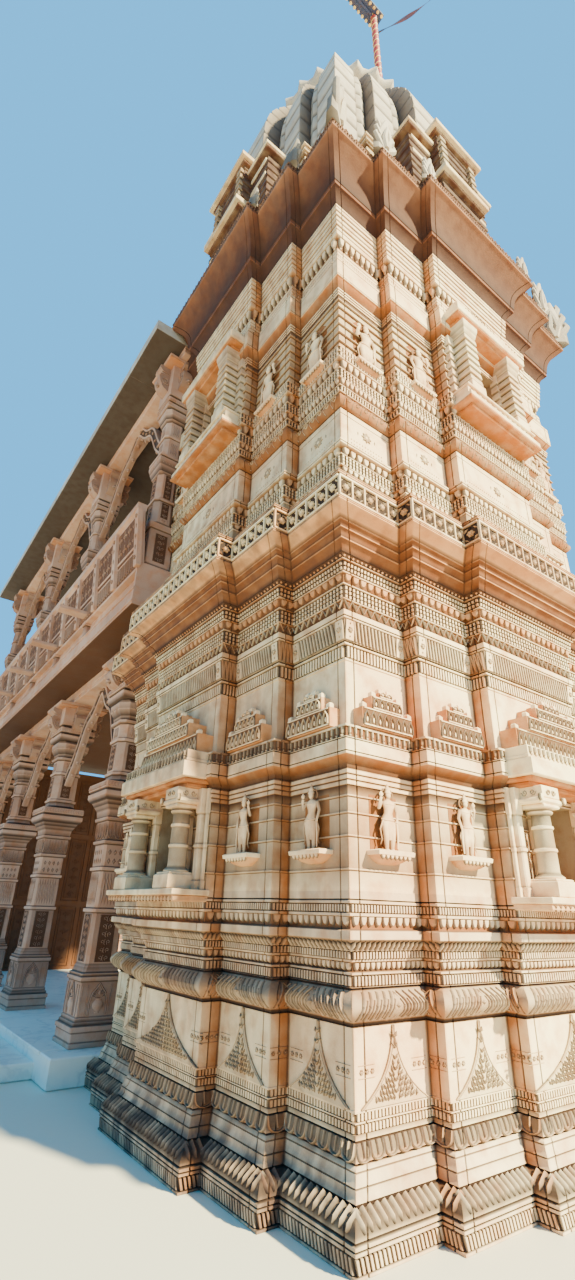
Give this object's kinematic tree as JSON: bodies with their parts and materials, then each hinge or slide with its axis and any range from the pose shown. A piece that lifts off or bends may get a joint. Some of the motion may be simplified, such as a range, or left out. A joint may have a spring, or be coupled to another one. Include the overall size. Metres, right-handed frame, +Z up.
{
  "type": "hindu temple",
  "caption": "Carved sandstone temple: a square shrine tower with stepped faces, coved eaves and a ribbed spire, joined to an open pillared hall with a gallery above.",
  "frame": {"origin": "middle of the shrine tower's square plan, on the ground", "axes": "+Z up, +Y from the tower along the hall behind it, -Y out of the tower's front face"},
  "size_m": [6.33, 14.168, 21.6],
  "materials": {
    "sandstone": "carved pink sandstone, matt",
    "weathered_stone": "sandstone with grey-black weathering, matt",
    "ochre_stone": "orange-brown sandstone, matt",
    "shaded_stone": "brown-pink sandstone, matt",
    "slab_stone": "dressed grey stone, matt",
    "spire_stone": "pale dressed stone, matt",
    "floor_stone": "smooth white stone, satin",
    "gilded_brass": "gilded",
    "painted_staff": "red paint with a gold spiral",
    "pennant_cloth": "dark cloth"
  },
  "bodies": {
    "root": {"plinth_foot": "weathered_stone", "plinth_wall": "sandstone", "plinth_cornice": "weathered_stone", "lower_wall": "sandstone", "lower_frieze": "sandstone", "first_eave": "ochre_stone", "upper_plinth": "sandstone", "upper_wall": "sandstone", "upper_frieze": "sandstone", "second_eave": "ochre_stone", "chamber_floor": "floor_stone", "upper_room_floor": "floor_stone", "front_lower_window": "sandstone", "right_lower_window": "sandstone", "left_lower_window": "sandstone", "front_upper_window": "sandstone", "right_upper_window": "sandstone", "rear_upper_window": "sandstone", "left_upper_window": "sandstone", "spire": "spire_stone", "front_roof_pavilion": "spire_stone", "right_roof_pavilion": "spire_stone", "rear_roof_pavilion": "spire_stone", "left_roof_pavilion": "spire_stone", "crown_disc": "spire_stone", "kalasha_finial": "gilded_brass", "flagstaff": "painted_staff", "pennant": "pennant_cloth", "hall_platform": "floor_stone", "hall_step_left": "floor_stone", "hall_step_right": "floor_stone", "hall_pillar_left_1": "shaded_stone", "hall_column_left_1": "shaded_stone", "hall_pillar_left_2": "shaded_stone", "hall_column_left_2": "shaded_stone", "hall_pillar_left_3": "shaded_stone", "hall_column_left_3": "shaded_stone", "hall_pillar_left_4": "shaded_stone", "hall_column_left_4": "shaded_stone", "hall_pillar_right_1": "shaded_stone", "hall_column_right_1": "shaded_stone", "hall_pillar_right_2": "shaded_stone", "hall_column_right_2": "shaded_stone", "hall_pillar_right_3": "shaded_stone", "hall_column_right_3": "shaded_stone", "hall_pillar_right_4": "shaded_stone", "hall_column_right_4": "shaded_stone", "hall_end_wall": "shaded_stone", "hall_upper_floor": "slab_stone", "hall_floor_beam_left": "shaded_stone", "hall_floor_beam_right": "shaded_stone", "hall_parapet_left": "shaded_stone", "hall_parapet_right": "shaded_stone", "hall_parapet_end": "shaded_stone", "hall_roof_beam_left": "shaded_stone", "hall_roof_beam_right": "shaded_stone", "hall_roof": "slab_stone"}
  },
  "joints": []
}
